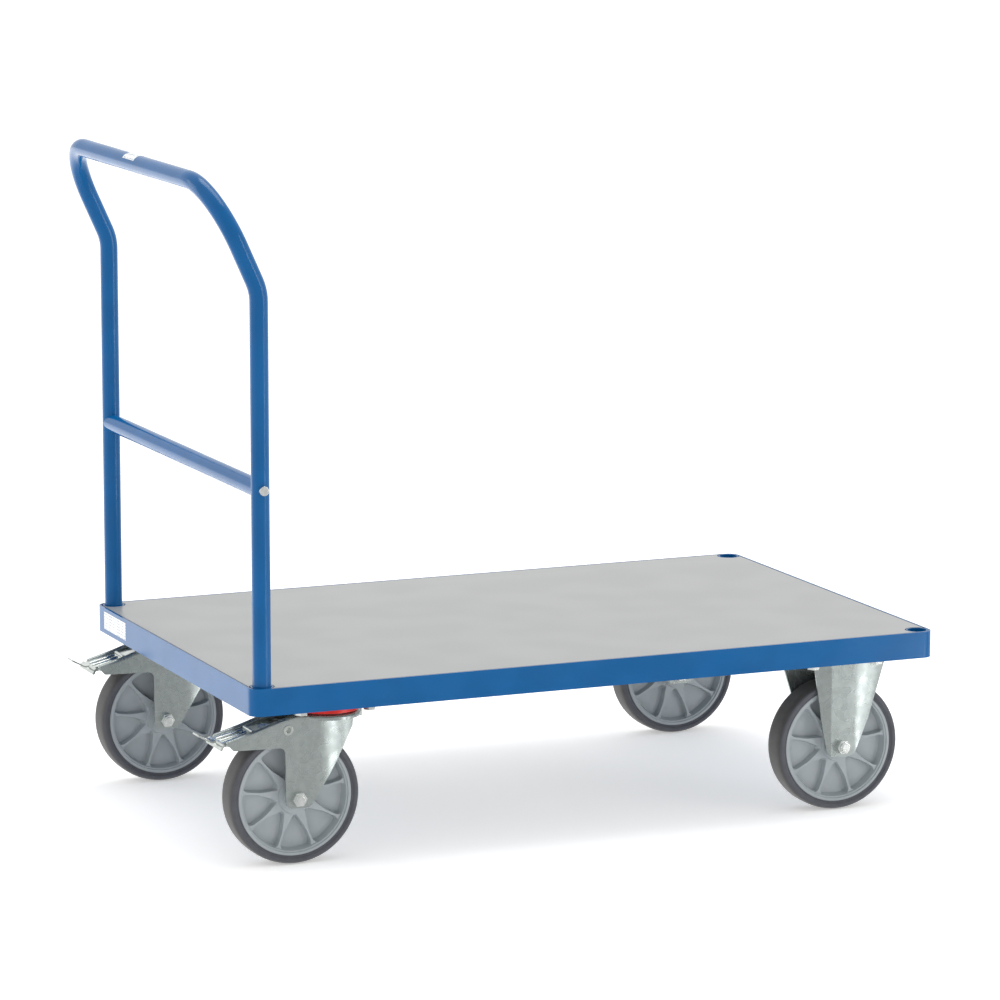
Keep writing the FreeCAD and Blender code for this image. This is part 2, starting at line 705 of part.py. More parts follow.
def castor_plate_shape():
    """A plate with rounded corners and four screw holes."""
    half_x = number("plate_length/2")
    half_y = number("plate_width/2")
    low = number("plate_top - plate_thick")
    outline = rounded_outline(
        [(-half_x, -half_y, 12), (half_x, -half_y, 12), (half_x, half_y, 12), (-half_x, half_y, 12)],
        height_axis=False)
    plate = Part.Face(outline).extrude(FreeCAD.Vector(0, 0, number("plate_thick")))
    plate.translate(FreeCAD.Vector(0, 0, low))
    for step_x in (-1, 1):
        for step_y in (-1, 1):
            centre = (step_x*number("hole_pitch_x/2"), step_y*number("hole_pitch_y/2"), 0)
            plate = plate.cut(rod(number("bolt_hole"), low - 1, low + 9, centre, "z"))
    return plate


def race(low, high, groove_z):
    """A hardened ring with a ball groove in one face."""
    middle = number("race_radius")
    ring = rod(middle + 6, low, high, (0, 0, 0), "z").cut(rod(middle - 6, low, high, (0, 0, 0), "z"))
    return ring.cut(Part.makeTorus(middle, number("ball_radius") + 0.1, FreeCAD.Vector(0, 0, groove_z)))


def swivel_castor(name, side):
    """The fixed half of a swivel castor, its fork, its brake and its axle."""
    y = f"{side}*castor_y"
    low = number("plate_top - plate_thick")
    crown = number("crown_top")
    groove = (low + crown)/2
    plate = fused(castor_plate_shape(), race(groove + 1.5, low, groove))
    plate = plate.cut(rod(number("pin_radius"), low - 1, low + 9, (0, 0, 0), "z"))
    new_piece(f"castor_plate_{name}", plate, swivel_x, y)

    ring = new_body(f"dust_ring_{name}", swivel_x, y)
    collar = sketch_on(ring, "XZ_Plane", "section")
    polygon(collar, [
        ("ring_radius - 9", "crown_top + 2"),
        ("ring_radius", "crown_top + 2"),
        ("ring_radius - 1.5", "plate_top - plate_thick"),
        ("ring_radius - 9", "plate_top - plate_thick"),
    ])
    revolve(ring, collar)

    bolt, nut, sleeve = axle_parts(-number("trail"))
    new_piece(f"swivel_axle_bolt_{name}", bolt, swivel_x, y)
    new_piece(f"swivel_axle_nut_{name}", nut, swivel_x, y)
    new_piece(f"swivel_axle_sleeve_{name}", sleeve, swivel_x, y)
    new_piece(f"swivel_fork_{name}", swivel_fork_shape(), swivel_x, y)
    new_piece(f"brake_rivets_{name}", brake_rivets_shape(), swivel_x, y)
    pedal = brake_pedal_shape()
    new_piece(f"brake_pedal_{name}", pedal, swivel_x, y)
    new_piece(f"brake_shoe_{name}", brake_shoe_shape(pedal), swivel_x, y)


def arm_stations():
    """The line along an arm's top edge where the sheet starts to turn in, as (along, up) points."""
    pivot_x = -number("pivot_back")
    return [(-160, 188.7), (-122, 199.5), (pivot_x - 11, 213), (pivot_x + 4, 216), (-38, 217.5)]


def swivel_fork_shape():
    """A round crown with two legs; each leg has an arm that runs back along the brake pedal."""
    crown = number("crown_top")
    thick = number("crown_thick")
    under = crown - thick
    radius = number("crown_radius")
    axle_x = -number("trail")
    pivot_x = -number("pivot_back")
    foot = number("tyre_radius") - 14
    arm_low = number("leg_top") - 38.5
    top_line = [(x, z, 20) for x, z in reversed(arm_stations()[1:4])]
    side = slab([
        (-163.5, 188.7, 3),
        (-154.5, arm_low + 2, 6),
        (pivot_x - 5, arm_low, 9),
        (pivot_x - 4, foot, 11),
        (-36, foot, 12),
        (6, foot + 65, 60),
        (34, foot + 113, 0),
        (36, under + 1, 0),
        (-45, under + 1, 0),
    ] + top_line, -60, 0)
    section = leg_wire(z=foot - 6, low_edge=-170, low_bend=-169, high_bend=axle_x + 25, high_edge=41,
                       sweep=number("swivel_sweep"))
    leg = Part.Face(section).extrude(FreeCAD.Vector(0, 0, crown - foot)).common(side)
    leg = fused(leg, rolled_edge())
    other = leg.mirror(FreeCAD.Vector(0, 0, 0), FreeCAD.Vector(0, 1, 0))
    profile = rounded_outline([
        (radius - 4, under - 3.5, 0), (radius, under - 3.5, 0), (radius, crown, 6), (0, crown, 0),
        (0, under, 0), (radius - 4, under, 0)])
    cap = Part.Face(profile).revolve(FreeCAD.Vector(0, 0, 0), FreeCAD.Vector(0, 0, 1), 360)
    lug = box(radius - 5, radius + 2, -8, 8, under - 9, crown - 3)
    plate_low = number("plate_top - plate_thick")
    boss = race(crown - 1, (plate_low + crown)/2 - 1.5, (plate_low + crown)/2)
    shape = fused(cap, leg, other, lug, boss)
    shape = shape.cut(rod(number("pin_radius") + 0.1, 150, 240, (0, 0, 0), "z"))
    shape = shape.cut(rod(number("axle_radius") + 0.1, -60, 60, (axle_x, 0, number("tyre_radius")), "y"))
    return shape.cut(rod(number("pivot_radius"), -60, 60, (pivot_x, 0, number("pivot_z")), "y"))


def rolled_edge():
    """The rounded shoulder along the top of the right arm, where the sheet turns in."""
    radius = number("roll_radius")
    step_out = 0.1
    y = radius + step_out - number("fork_half")
    points = [FreeCAD.Vector(x, y, z) for x, z in arm_stations()]
    bars = [Part.makeSphere(radius, point) for point in points[:-1]]
    for here, there in zip(points, points[1:]):
        bars.append(Part.makeCylinder(radius, (there - here).Length, here, there - here))
    return fused(*bars)


def brake_rivets_shape():
    """Two rivets, one in each leg: a hollow head outside and a thin stub that carries the pedal."""
    half = number("fork_half")
    radius = number("pivot_radius")
    head = half + number("rivet_head")
    inner = number("tyre_half") + 2.3
    centre = (-number("pivot_back"), 0, number("pivot_z"))
    rivets = []
    for side in (-1, 1):
        low, high = sorted((side*inner, side*head))
        head_low, head_high = sorted((side*half, side*head))
        stub_low, stub_high = sorted((side*(inner - 5.2), side*(inner + 1)))
        hollow_low, hollow_high = sorted((side*(inner + 1.5), side*(half + 2)))
        body = fused(rod(radius, low, high, centre, "y"),
                     rod(radius + 1.3, head_low, head_high, centre, "y"),
                     rod(number("stub_radius"), stub_low, stub_high, centre, "y"))
        rivets.append(body.cut(rod(radius - 2, hollow_low, hollow_high, centre, "y")))
    return Part.makeCompound(rivets)


def brake_pedal_shape():
    """A pressed channel between the fork's arms with a slotted back, a wide lip and a raised tip."""
    half = number("pedal_half")
    pivot_x = -number("pivot_back")
    pivot_z = number("pivot_z")
    steel = number("pedal_steel")
    tip = -number("pedal_tip")
    high_x = pivot_x - 22
    high_z = pivot_z + 5.5
    low_x = -170
    low_z = 188.6
    slope = (high_z - low_z)/(high_x - low_x)

    def back_z(x):
        return low_z + slope*(x - low_x)

    cheeks = slab([
        (pivot_x + 10, pivot_z - 2, 4),
        (pivot_x + 9, high_z, 3),
        (high_x, high_z, 20),
        (low_x + 2, back_z(low_x + 2), 0),
        (low_x - 1, 183, 3),
        (low_x + 20, 184, 6),
        (pivot_x - 40, 192, 8),
        (pivot_x - 12, pivot_z - 2.5, 8),
    ], -half, half)
    cheeks = cheeks.cut(box(-200, 0, steel - half, half - steel, 150, 240))
    back = [
        (pivot_x + 6, high_z, 0),
        (high_x, high_z, 20),
        (low_x, low_z, 4),
        (low_x - 4, low_z - 8, 0),
        (low_x - 1.4, low_z - 9, 0),
        (low_x + 2, low_z - steel, 2),
        (high_x - 0.5, high_z - steel, 20),
        (pivot_x + 6, high_z - steel, 0),
    ]
    skin = slab(back, -half, half)
    lip_half = number("fork_half") - 1.4
    lip = slab(back, -lip_half, lip_half).common(box(-200, low_x + 2.4, -60, 60, 150, 240))
    ribs = []
    start = low_x + 4
    length = number("rib_length")
    rib_radius = number("rib_radius")
    for side in (-1, 1):
        rib = Part.makeCylinder(rib_radius, length, FreeCAD.Vector(0, 0, 0), FreeCAD.Vector(1, 0, 0))
        rib = fused(rib, Part.makeSphere(rib_radius, FreeCAD.Vector(length, 0, 0)))
        rib = rib.common(box(-1, length + 2*rib_radius, -2*rib_radius, 2*rib_radius, -1, 2*rib_radius))
        rib.rotate(FreeCAD.Vector(0, 0, 0), FreeCAD.Vector(0, 1, 0), -math.degrees(math.atan(slope)))
        rib.translate(FreeCAD.Vector(start, side*number("rib_y"), back_z(start) - 0.8))
        ribs.append(rib)
    bead_x = -119
    bead = rod(rib_radius, 4 - half, half - 4, (bead_x, 0, back_z(bead_x) - 0.5), "y")
    slot_half = number("slot_half")
    slot_end = bead_x - 10
    slot = slab([(low_x + 9, 170, 0), (low_x + 9, 215, 0), (slot_end, 215, 0), (slot_end, 170, 0)],
                -slot_half, slot_half)
    toe = slab([
        (low_x + 20, 189.6, 0), (-177, 188.4, 8), (tip + 1, 199.2, 0), (tip, 197, 0), (-176, 185.8, 8),
        (low_x + 20, 187, 0)], -2, half)
    shape = fused(cheeks, skin, lip, bead, *ribs).cut(slot)
    shape = fused(shape, toe)
    return shape.cut(rod(number("stub_radius") + 0.08, -60, 60, (pivot_x, 0, pivot_z), "y"))


def brake_shoe_shape(pedal):
    """A pad under the pedal that presses on the tread; the pedal's underside shapes its top."""
    pad_half = number("shoe_half")
    pad_block = slab([(-112, 206, 0), (-112, 196.9, 2), (-104, 194.6, 2), (-97, 199.8, 0), (-97, 206, 0)],
                     -pad_half, pad_half)
    parts_of_pad = pad_block.cut(pedal).Solids
    return min(parts_of_pad, key=lambda solid: solid.CenterOfMass.z)


for name, side in sides:
    swivel_castor(name, side)
    fixed_fork(f"fixed_fork_{name}", side)


def fixed_axles():
    """Bolts, lock nuts and sleeves of the two fixed castors."""
    groups = ([], [], [])
    for side in (-1, 1):
        for group, solid in zip(groups, axle_parts(0)):
            solid.translate(FreeCAD.Vector(0, side*number("castor_y"), 0))
            group.append(solid)
    for label, group in zip(("fixed_axle_bolts", "fixed_axle_nuts", "fixed_axle_sleeves"), groups):
        new_piece(label, Part.makeCompound(group), fixed_x)


fixed_axles()


def king_pins():
    """The headed pins that hold the swivel forks up against their castor plates."""
    head_top = number("crown_top - crown_thick") - 0.3
    pins = []
    for side in (-1, 1):
        centre = (0, side*number("castor_y"), 0)
        stem = rod(number("pin_radius"), head_top, number("plate_top"), centre, "z")
        pins.append(fused(rod(17, head_top - 6, head_top, centre, "z"), stem))
    new_piece("king_pins", Part.makeCompound(pins), swivel_x)


king_pins()


def swivel_balls():
    """The bearing balls between each castor plate and its fork."""
    count = 14
    height = (number("plate_top - plate_thick") + number("crown_top"))/2
    balls = []
    for side in (-1, 1):
        for step in range(count):
            turn = 2*math.pi*step/count
            reach = number("race_radius")
            middle = FreeCAD.Vector(reach*math.cos(turn),
                                    side*number("castor_y") + reach*math.sin(turn), height)
            balls.append(Part.makeSphere(number("ball_radius"), middle))
    new_piece("swivel_balls", Part.makeCompound(balls), swivel_x)


swivel_balls()


# The handle: one bent tube pushed into the rear sockets, and a crossbar between its uprights

def handle_path():
    """Straight runs joined by tangent arcs, from the right socket over the top to the left one."""
    foot = number("frame_top - skirt + 4")
    back_x = -number(post_x)
    top_x = back_x - number("handle_lean")
    half = number(post_y)
    bend_z = number("handle_bend_z")
    top_z = number("handle_top_z")
    low_bend = number("side_bend")
    high_bend = number("top_bend")
    stations = [
        (back_x, -half, foot, 0),
        (back_x, -half, bend_z, low_bend),
        (top_x, -half, top_z, high_bend),
        (top_x, half, top_z, high_bend),
        (back_x, half, bend_z, low_bend),
        (back_x, half, foot, 0),
    ]
    points = [FreeCAD.Vector(x, y, z) for x, y, z, radius in stations]
    edges = []
    last = points[0]
    for index in range(1, len(points) - 1):
        here = points[index]
        radius = stations[index][3]
        back = (points[index - 1] - here).normalize()
        ahead = (points[index + 1] - here).normalize()
        half_angle = back.getAngle(ahead)/2
        reach = radius/math.tan(half_angle)
        middle = (back + ahead).normalize()
        crest = here + middle*(radius/math.sin(half_angle) - radius)
        edges.append(Part.makeLine(last, here + back*reach))
        edges.append(Part.Arc(here + back*reach, crest, here + ahead*reach).toShape())
        last = here + ahead*reach
    edges.append(Part.makeLine(last, points[-1]))
    return Part.Wire(edges)


def swept(path, radius):
    """A round bar along the path, which starts straight up."""
    start = path.Edges[0].Vertexes[0].Point
    ring = Part.Wire(Part.makeCircle(radius, start, FreeCAD.Vector(0, 0, 1)))
    return path.makePipeShell([ring], True, False)


def handle():
    """The tube, its crossbar with plugs and bolts, and the screws that lock it in the sockets."""
    path = handle_path()
    radius = number("tube_radius")
    bore = number("tube_bore")
    back_x = -number(post_x)
    half = number(post_y)
    bar_z = number("crossbar_z")
    screw_z = number(lock_z)
    bar_centre = (back_x, 0, bar_z)
    m8_radius = 4
    m6_radius = 3
    tube = swept(path, radius).cut(swept(path, bore))
    tube = tube.cut(rod(m8_radius + 0.1, -half - 20, half + 20, bar_centre, "y"))
    for side in (-1, 1):
        tube = tube.cut(rod(m6_radius, back_x, back_x + 20, (0, side*half, screw_z), "x"))
    new_piece("handle_tube", tube, platform_x)

    uprights = [rod(radius, bar_z - 30, bar_z + 30, (back_x, side*half, 0), "z") for side in (-1, 1)]
    bar = rod(radius, -half, half, bar_centre, "y").cut(rod(bore, -half, half, bar_centre, "y"))
    new_piece("handle_crossbar", bar.cut(uprights[0]).cut(uprights[1]), platform_x)

    plugs = []
    bolts = []
    for side in (-1, 1):
        low, high = sorted((side*(half - radius - 30), side*(half - radius)))
        plug = rod(bore, low, high, bar_centre, "y").cut(rod(m8_radius, low, high, bar_centre, "y"))
        plugs.append(plug)
        head_low, head_high = sorted((side*(half + radius), side*(half + radius + 5)))
        low, high = sorted((side*(half - radius - 24), side*(half + radius)))
        bolts.append(fused(rod(7, head_low, head_high, bar_centre, "y"),
                           rod(m8_radius, low, high, bar_centre, "y")))
    new_piece("crossbar_plugs", Part.makeCompound(plugs), platform_x)
    new_piece("crossbar_bolts", Part.makeCompound(bolts), platform_x)

    screws = []
    for side in (-1, 1):
        centre = (0, side*half, screw_z)
        face = back_x + number("socket_outer")
        head = hexagon(10, face, face + 4, centre, "x")
        screws.append(fused(head, rod(m6_radius, back_x + bore - 4, face, centre, "x")))
    new_piece("handle_lock_screws", Part.makeCompound(screws), platform_x)


handle()


def labels():
    """A sticker wrapped on the top bar, and one on the rear rail."""
    radius = number("tube_radius")
    film = 0.2
    half_length = 24.5
    rating_low_y = 209
    rating_high_y = 311
    rating_low_z = 239.5
    rating_high_z = 266.5
    top_x = -number(post_x) - number("handle_lean")
    top_z = number("handle_top_z")
    centre = (top_x, 0, top_z)
    wrap = rod(radius + film, -half_length, half_length, centre, "y")
    wrap = wrap.cut(rod(radius, -half_length, half_length, centre, "y"))
    keep = box(top_x - 20, top_x + 8, -half_length, half_length, top_z + radius/2, top_z + 20)
    new_piece("handle_label", wrap.common(keep), platform_x)
    face = -number("deck_length/2")
    rating = box(face - film, face, rating_low_y, rating_high_y, rating_low_z, rating_high_z)
    new_piece("rating_label", rating, platform_x)


labels()


# Every piece must be sound before any file is written.
doc.recompute()
for thing in doc.Objects:
    if "Invalid" in thing.State or "Error" in thing.State:
        raise RuntimeError(f"{thing.Label} is {thing.State}")
for piece in pieces:
    if piece.Shape.isNull() or not piece.Shape.isValid():
        raise RuntimeError(f"{piece.Label} has no valid shape")
os.makedirs("parts", exist_ok=True)
for piece in pieces:
    piece.Shape.exportStep(f"parts/{piece.Label}.step")
print(len(pieces), "pieces written")
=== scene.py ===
import json
import math
import bmesh
import bpy
import numpy as np
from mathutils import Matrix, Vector


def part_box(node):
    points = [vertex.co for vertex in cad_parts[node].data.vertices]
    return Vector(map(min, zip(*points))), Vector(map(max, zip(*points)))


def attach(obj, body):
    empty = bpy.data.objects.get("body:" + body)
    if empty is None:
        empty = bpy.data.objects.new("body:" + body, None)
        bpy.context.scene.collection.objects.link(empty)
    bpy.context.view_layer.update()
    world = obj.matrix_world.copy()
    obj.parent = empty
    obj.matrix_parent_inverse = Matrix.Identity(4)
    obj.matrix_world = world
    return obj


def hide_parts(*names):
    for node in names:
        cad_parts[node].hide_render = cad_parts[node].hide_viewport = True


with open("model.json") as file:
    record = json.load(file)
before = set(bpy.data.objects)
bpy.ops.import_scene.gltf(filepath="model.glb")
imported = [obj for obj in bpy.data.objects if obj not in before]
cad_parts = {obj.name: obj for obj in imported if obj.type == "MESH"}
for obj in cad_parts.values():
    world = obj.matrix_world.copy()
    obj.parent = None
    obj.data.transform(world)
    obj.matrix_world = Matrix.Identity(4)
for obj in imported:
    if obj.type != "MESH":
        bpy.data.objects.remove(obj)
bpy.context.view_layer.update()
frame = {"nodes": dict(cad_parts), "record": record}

mm = 0.001
nodes = frame["nodes"]
slotOf = {part["node"]: part["material_slot"] for part in frame["record"]["subparts"]}
bodyOf = {node: body for body, group in frame["record"]["behaviour"]["bodies"].items() for node in group}
print("frame loaded:", len(nodes), "nodes")


# colours and nodes

def srgb(hexCode):
    # sRGB hex to linear RGBA
    parts = [int(hexCode[i:i + 2], 16)/255 for i in (0, 2, 4)]
    return [p/12.92 if p <= 0.04045 else ((p + 0.055)/1.055)**2.4 for p in parts] + [1.0]


def addNode(tree, kind, settings=None, values=None, links=None, stops=None):
    # one shader node: its settings, socket values and incoming links, and the (place, hex) stops of a ramp
    node = tree.nodes.new("ShaderNode" + kind)
    for key, value in (settings or {}).items():
        setattr(node, key, value)
    for key, value in (values or {}).items():
        node.inputs[key].default_value = value
    for key, source in (links or {}).items():
        tree.links.new(source, node.inputs[key])
    if stops:
        node.color_ramp.interpolation = "EASE"
        for element, (place, hexCode) in zip(node.color_ramp.elements, stops):
            element.position = place
            element.color = srgb(hexCode)
    return node


def newMaterial(name):
    # an empty node material and its shader
    material = bpy.data.materials.new(name)
    material.use_nodes = True
    tree = material.node_tree
    tree.nodes.clear()
    shader = addNode(tree, "BsdfPrincipled")
    addNode(tree, "OutputMaterial", links={"Surface": shader.outputs["BSDF"]})
    return material, shader


def setShader(shader, values, links):
    for key, value in values.items():
        shader.inputs[key].default_value = value
    for key, source in links.items():
        shader.id_data.links.new(source, shader.inputs[key])


noiseLow, noiseHigh = 0.3, 0.7  # where nearly all values of a noise lie


def makeSurface(look):
    # three noises on one surface: clouds between two close tones, broad patches of more and less
    # gloss, and a low relief. Each size is that of one cloud, patch or grain.
    material, shader = newMaterial(look["name"])
    tree = material.node_tree
    place = addNode(tree, "TexCoord").outputs["Object"]
    clouds = addNode(tree, "TexNoise", values={"Scale": 1/look["cloud"], "Detail": look["cloudDetail"]},
                     links={"Vector": place})
    tone = addNode(tree, "ValToRGB", links={"Fac": clouds.outputs["Fac"]},
                   stops=[(look["darkAt"], look["dark"]), (1 - look["darkAt"], look["light"])])
    patches = addNode(tree, "TexNoise", values={"Scale": 1/look["patch"], "Detail": look["patchDetail"]},
                      links={"Vector": place})
    rough = addNode(tree, "MapRange", {"interpolation_type": "SMOOTHSTEP"},
                    {"From Min": noiseLow, "From Max": noiseHigh,
                     "To Min": look["smoothest"], "To Max": look["roughest"]},
                    {"Value": patches.outputs["Fac"]})
    grain = addNode(tree, "TexNoise", values={"Scale": 1/look["grain"], "Detail": look["grainDetail"]},
                    links={"Vector": place})
    relief = addNode(tree, "Bump", values={"Distance": look["relief"]}, links={"Height": grain.outputs["Fac"]})
    setShader(shader, look["shader"], {"Base Color": tone.outputs["Color"],
              "Roughness": rough.outputs["Result"], "Normal": relief.outputs["Normal"]})
    return material


# finishes of the frame

# Polyester powder coat on steel, sprayed dry and baked: glossy with a faint orange peel
powderCoat = {"name": "powderCoatBlue", "dark": "045790", "light": "065b96", "darkAt": 0.35,
              "cloud": 60*mm, "cloudDetail": 1, "patch": 40*mm, "patchDetail": 0,
              "smoothest": 0.14, "roughest": 0.20, "grain": 5*mm, "grainDetail": 0, "relief": 0.006*mm,
              "shader": {"IOR": 1.5, "Specular IOR Level": 0.3}}

# Melamine laminate pressed on particle board: hard and satin, with a barely uneven press finish
laminate = {"name": "melamineLaminateGrey", "dark": "989a99", "light": "999b9a", "darkAt": 0.35,
            "cloud": 180*mm, "cloudDetail": 0, "patch": 90*mm, "patchDetail": 0,
            "smoothest": 0.28, "roughest": 0.32, "grain": 9*mm, "grainDetail": 0, "relief": 0.004*mm,
            "shader": {"IOR": 1.52, "Specular IOR Level": 0.35}}


# finishes of the castors and screws: zinc plating gives a pale metal with cloudy spangle

# Electro zinc plated steel sheet, drawn and pressed: greyish, because its colour is set darker than the
# plating's own as a painted reflection of dark surroundings
zincSheet = {"name": "zincPlatedSheet", "dark": "a5adab", "light": "aeb6b4", "darkAt": 0.3,
             "cloud": 9*mm, "cloudDetail": 2, "patch": 16*mm, "patchDetail": 0,
             "smoothest": 0.24, "roughest": 0.31, "grain": 9*mm, "grainDetail": 0, "relief": 0.004*mm,
             "shader": {"Metallic": 0.8}}

# The brake pressings, bright zinc plated: nearly a mirror along their bends
brightZinc = dict(zincSheet, name="brightZincPressing", dark="ccd2ce", light="dbe0dc", cloud=14*mm,
                  grain=14*mm, smoothest=0.11, roughest=0.18, shader={"Metallic": 1.0})

# Screws, nuts and axle bolts, barrel plated: whiter and finer than the sheet
fastenerZinc = dict(brightZinc, name="zincPlatedFasteners", dark="dfe4e1", light="eef1ef", cloud=5*mm,
                    grain=5*mm, smoothest=0.21, roughest=0.28)

# King pins, balls and sleeves, hardened and ground: a darker plain steel
bearingSteel = dict(brightZinc, name="groundBearingSteel", dark="9a9b9d", light="b9babb", cloud=4*mm,
                    grain=4*mm, smoothest=0.22, roughest=0.29)


# plastics

# Grey polypropylene, injection moulded: semi matt with faint flow clouding
rimPlastic = {"name": "polypropyleneGreyMoulded", "dark": "9ea6aa", "light": "a4abaf", "darkAt": 0.3,
              "cloud": 22*mm, "cloudDetail": 3, "patch": 12*mm, "patchDetail": 3,
              "smoothest": 0.37, "roughest": 0.49, "grain": 0.9*mm, "grainDetail": 2, "relief": 0.012*mm,
              "shader": {"IOR": 1.49, "Specular IOR Level": 0.5}}

# Red polyethylene dust ring, moulded: a waxy gloss
ringPlastic = {"name": "polyethyleneRedMoulded", "dark": "cf1a14", "light": "e0211a", "darkAt": 0.3,
               "cloud": 15*mm, "cloudDetail": 3, "patch": 8*mm, "patchDetail": 3,
               "smoothest": 0.28, "roughest": 0.38, "grain": 0.8*mm, "grainDetail": 2, "relief": 0.01*mm,
               "shader": {"IOR": 1.5}}

# Acetal bearing cage, left natural: a milky off white
cagePlastic = dict(ringPlastic, name="acetalCageNatural", dark="bdb9aa", light="c9c6b8",
                   smoothest=0.36, roughest=0.46)

# Black nylon tube plugs, moulded: matt with a fine grain
plugPlastic = dict(ringPlastic, name="nylonPlugBlack", dark="151517", light="1c1c1e",
                   smoothest=0.46, roughest=0.56)


# Thermoplastic rubber, moulded: matt and velvety, and the tread is toned darker and less blue than the side, as
# painted shade against the light that falls on it
tyreLook = {"side": "52545b", "sideDark": "4c4e55", "sideCloud": 14*mm, "tread": "464545",
            "treadDark": "403f3f", "treadCloud": 9*mm, "grain": 0.7*mm, "relief": 0.03*mm}


def makeTyreRubber():
    # two clouded tones, one for the side and one for the tread, mixed by how far out the UV map says it is
    material, shader = newMaterial("thermoplasticRubberTyre")
    tree = material.node_tree
    place = addNode(tree, "TexCoord").outputs["Object"]
    around = addNode(tree, "UVMap", {"uv_map": "around"})
    out = addNode(tree, "SeparateXYZ", links={"Vector": around.outputs["UV"]})
    isTread = addNode(tree, "MapRange", {"interpolation_type": "SMOOTHSTEP"}, links={"Value": out.outputs["Y"]})
    sideCloud = addNode(tree, "TexNoise", values={"Scale": 1/tyreLook["sideCloud"], "Detail": 4},
                        links={"Vector": place})
    side = addNode(tree, "ValToRGB", links={"Fac": sideCloud.outputs["Fac"]},
                   stops=[(noiseLow, tyreLook["sideDark"]), (noiseHigh, tyreLook["side"])])
    treadCloud = addNode(tree, "TexNoise",
                         values={"Scale": 1/tyreLook["treadCloud"], "Detail": 5, "Roughness": 0.6},
                         links={"Vector": place})
    # the tread's darker tone is painted shade, holding back the light that falls on the tread
    tread = addNode(tree, "ValToRGB", links={"Fac": treadCloud.outputs["Fac"]},
                    stops=[(noiseLow, tyreLook["treadDark"]), (noiseHigh, tyreLook["tread"])])
    tone = addNode(tree, "Mix", {"data_type": "RGBA"},
                   links={0: isTread.outputs["Result"], 6: side.outputs["Color"], 7: tread.outputs["Color"]})
    grain = addNode(tree, "TexNoise", values={"Scale": 1/tyreLook["grain"], "Detail": 3, "Roughness": 0.6},
                    links={"Vector": place})
    relief = addNode(tree, "Bump", values={"Distance": tyreLook["relief"]},
                     links={"Height": grain.outputs["Fac"]})
    setShader(shader, {"IOR": 1.5, "Roughness": 0.62, "Sheen Weight": 0.08},
              {"Base Color": tone.outputs[2], "Normal": relief.outputs["Normal"]})
    return material


# White vinyl film, screen printed: rows of faint grey dashes stand for the print, with no lettering
labelLook = {"film": "eceeee", "print": "a9b3bd", "row": 4.5*mm, "rowGap": 0.30, "rowFull": 0.36,
             "word": 5*mm, "wordDrawn": 0.25, "wordFrom": 0.48, "wordFull": 0.52,
             "smoothest": 0.30, "roughest": 0.42, "patch": 8*mm, "grain": 1.5*mm, "relief": 0.004*mm}


def makeLabelFilm():
    # rows repeat up the film, and a noise squashed along them breaks each row into words
    material, shader = newMaterial("vinylLabelPrinted")
    tree = material.node_tree
    place = addNode(tree, "TexCoord").outputs["Object"]
    split = addNode(tree, "SeparateXYZ", links={"Vector": place})
    rows = addNode(tree, "Math", {"operation": "PINGPONG"}, {1: labelLook["row"]/2}, {0: split.outputs["Z"]})
    inRow = addNode(tree, "MapRange", {"interpolation_type": "SMOOTHSTEP"},
                    {"From Min": labelLook["row"]*labelLook["rowGap"],
                     "From Max": labelLook["row"]*labelLook["rowFull"]}, {"Value": rows.outputs["Value"]})
    drawn = addNode(tree, "Mapping", values={"Scale": (1, 1, labelLook["wordDrawn"])}, links={"Vector": place})
    breaks = addNode(tree, "TexNoise", values={"Scale": 1/labelLook["word"], "Detail": 2, "Roughness": 0.7},
                     links={"Vector": drawn.outputs["Vector"]})
    inWord = addNode(tree, "MapRange", {"interpolation_type": "SMOOTHSTEP"},
                     {"From Min": labelLook["wordFrom"], "From Max": labelLook["wordFull"]},
                     {"Value": breaks.outputs["Fac"]})
    printed = addNode(tree, "Math", {"operation": "MULTIPLY"},
                      links={0: inRow.outputs["Result"], 1: inWord.outputs["Result"]})
    tone = addNode(tree, "ValToRGB", links={"Fac": printed.outputs["Value"]},
                   stops=[(0, labelLook["film"]), (1, labelLook["print"])])
    patches = addNode(tree, "TexNoise", values={"Scale": 1/labelLook["patch"], "Detail": 3},
                      links={"Vector": place})
    rough = addNode(tree, "MapRange", {"interpolation_type": "SMOOTHSTEP"},
                    {"From Min": noiseLow, "From Max": noiseHigh,
                     "To Min": labelLook["smoothest"], "To Max": labelLook["roughest"]},
                    {"Value": patches.outputs["Fac"]})
    grain = addNode(tree, "TexNoise", values={"Scale": 1/labelLook["grain"], "Detail": 1},
                    links={"Vector": place})
    relief = addNode(tree, "Bump", values={"Distance": labelLook["relief"]},
                     links={"Height": grain.outputs["Fac"]})
    setShader(shader, {"IOR": 1.5}, {"Base Color": tone.outputs["Color"],
              "Roughness": rough.outputs["Result"], "Normal": relief.outputs["Normal"]})
    return material


materials = {
    "blue_powder_coat": makeSurface(powderCoat),
    "grey_laminate_board": makeSurface(laminate),
    "zinc_plated_sheet": makeSurface(zincSheet),
    "bright_zinc_steel": makeSurface(brightZinc),
    "zinc_plated_fasteners": makeSurface(fastenerZinc),
    "hardened_steel": makeSurface(bearingSteel),
    "grey_rim_plastic": makeSurface(rimPlastic),
    "grey_tyre_rubber": makeTyreRubber(),
    "bearing_cage_plastic": makeSurface(cagePlastic),
    "red_ring_plastic": makeSurface(ringPlastic),
    "white_label_film": makeLabelFilm(),
    "plug_plastic": makeSurface(plugPlastic),
}
print("materials made:", len(materials))


# pieces that keep their CAD shape

def shade(mesh, sharp):
    # smooth faces, with a crease wherever they turn by more than sharp degrees
    mesh.shade_smooth()
    mesh.set_sharp_from_angle(angle=math.radians(sharp))


edgeLook = {"merge": 0.002*mm, "flat": 0.6, "sharp": 30, "segments": 2}  # angles in degrees

